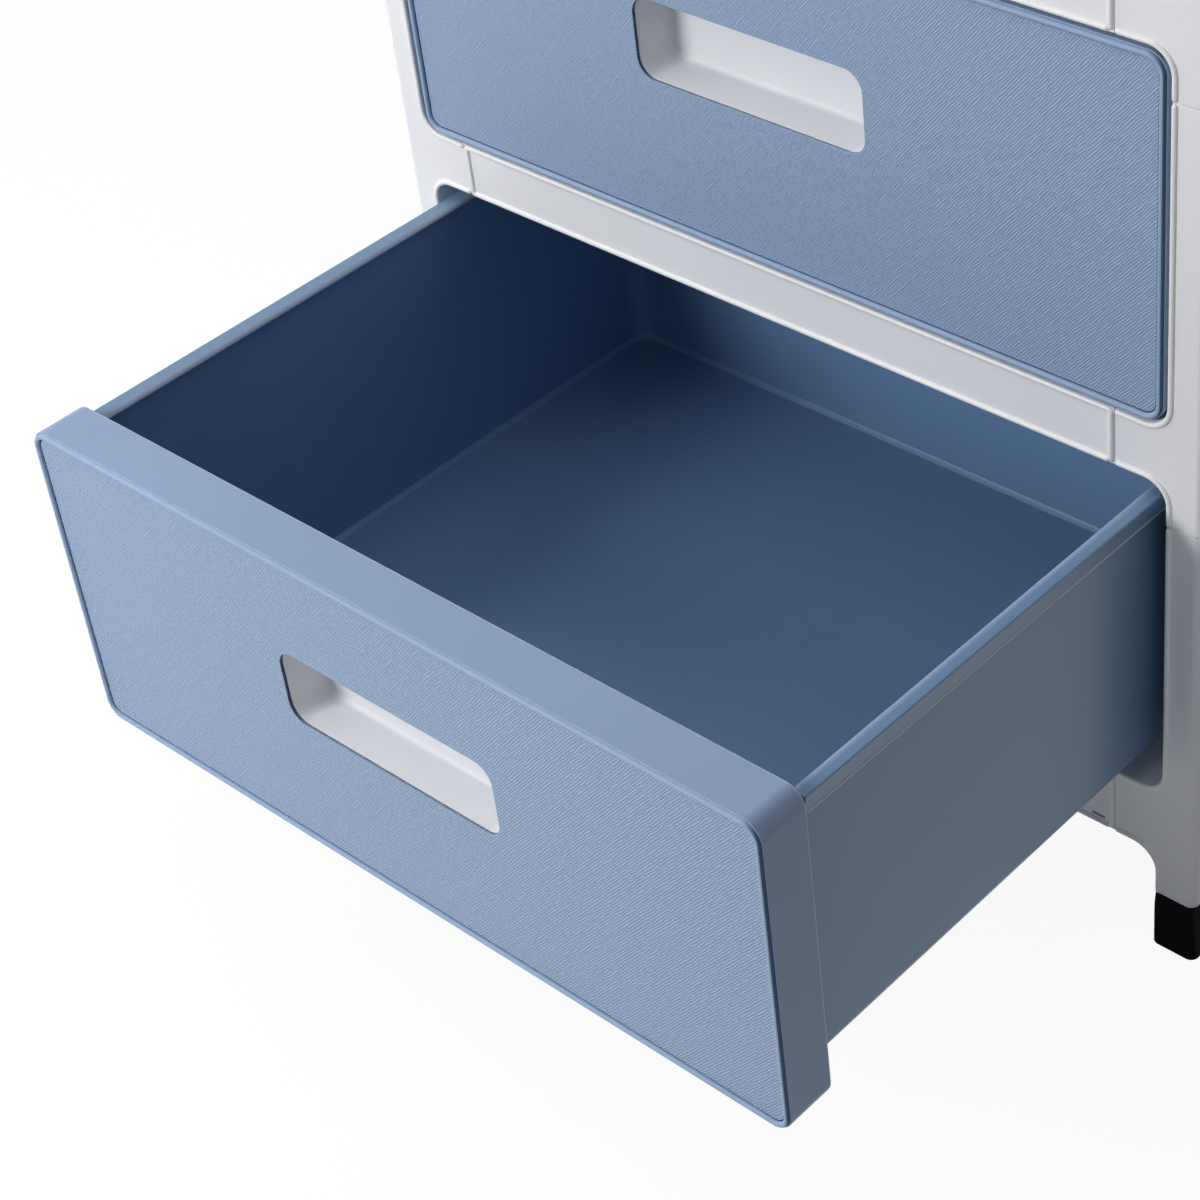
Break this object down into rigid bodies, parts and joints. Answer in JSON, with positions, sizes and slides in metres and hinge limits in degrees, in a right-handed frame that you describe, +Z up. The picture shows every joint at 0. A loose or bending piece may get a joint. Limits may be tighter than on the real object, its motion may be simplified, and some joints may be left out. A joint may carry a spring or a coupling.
{
  "type": "plastic drawer tower",
  "caption": "Free-standing plastic tower of stacked frames with pull-out drawers, grained fronts, recessed finger cups, ribbed back panels and black feet.",
  "frame": {"origin": "on the floor, under the middle of the box that holds the cabinet and the lowest drawer, which stands open", "axes": "+Z up, +X to the right of a person facing the drawers, and the drawers pull out along -Y"},
  "size_m": [0.453, 0.6126, 0.85],
  "materials": {
    "frame_plastic": "satin moulded plastic, off-white",
    "foot_black": "matt black moulded plastic",
    "tub_blue": "glossy moulded plastic, slate blue",
    "front_blue": "satin moulded plastic, pale blue",
    "grained_blue": "fine leather grain moulded in pale blue plastic",
    "cup_white": "satin white moulded plastic"
  },
  "bodies": {
    "cabinet": {"side_right_1": "frame_plastic", "side_right_2": "frame_plastic", "side_right_3": "frame_plastic", "side_right_4": "frame_plastic", "side_left_1": "frame_plastic", "side_left_2": "frame_plastic", "side_left_3": "frame_plastic", "side_left_4": "frame_plastic", "front_rail_1": "frame_plastic", "front_rail_2": "frame_plastic", "front_rail_3": "frame_plastic", "front_rail_4": "frame_plastic", "shelf_1": "frame_plastic", "shelf_2": "frame_plastic", "shelf_3": "frame_plastic", "shelf_4": "frame_plastic", "back_panel_1": "frame_plastic", "back_panel_2": "frame_plastic", "back_panel_3": "frame_plastic", "back_panel_4": "frame_plastic", "top_cover": "frame_plastic", "foot_front_right": "foot_black", "foot_front_left": "foot_black", "foot_rear_right": "foot_black", "foot_rear_left": "foot_black"},
    "drawer_1": {"drawer_tub_1": "tub_blue", "drawer_front_1": "front_blue", "grained_face_1": "grained_blue", "finger_cup_1": "cup_white"},
    "drawer_2": {"drawer_tub_2": "tub_blue", "drawer_front_2": "front_blue", "grained_face_2": "grained_blue", "finger_cup_2": "cup_white"},
    "drawer_3": {"drawer_tub_3": "tub_blue", "drawer_front_3": "front_blue", "grained_face_3": "grained_blue", "finger_cup_3": "cup_white"},
    "drawer_4": {"drawer_tub_4": "tub_blue", "drawer_front_4": "front_blue", "grained_face_4": "grained_blue", "finger_cup_4": "cup_white"}
  },
  "joints": [
    {"name": "drawer_1_slide", "type": "slide", "parent": "cabinet", "child": "drawer_1", "axis": [0, -1, 0], "range_m": [-0.2397, 0.03]},
    {"name": "drawer_2_slide", "type": "slide", "parent": "cabinet", "child": "drawer_2", "axis": [0, -1, 0], "range_m": [0, 0.2697]},
    {"name": "drawer_3_slide", "type": "slide", "parent": "cabinet", "child": "drawer_3", "axis": [0, -1, 0], "range_m": [0, 0.2697]},
    {"name": "drawer_4_slide", "type": "slide", "parent": "cabinet", "child": "drawer_4", "axis": [0, -1, 0], "range_m": [0, 0.2697]}
  ]
}
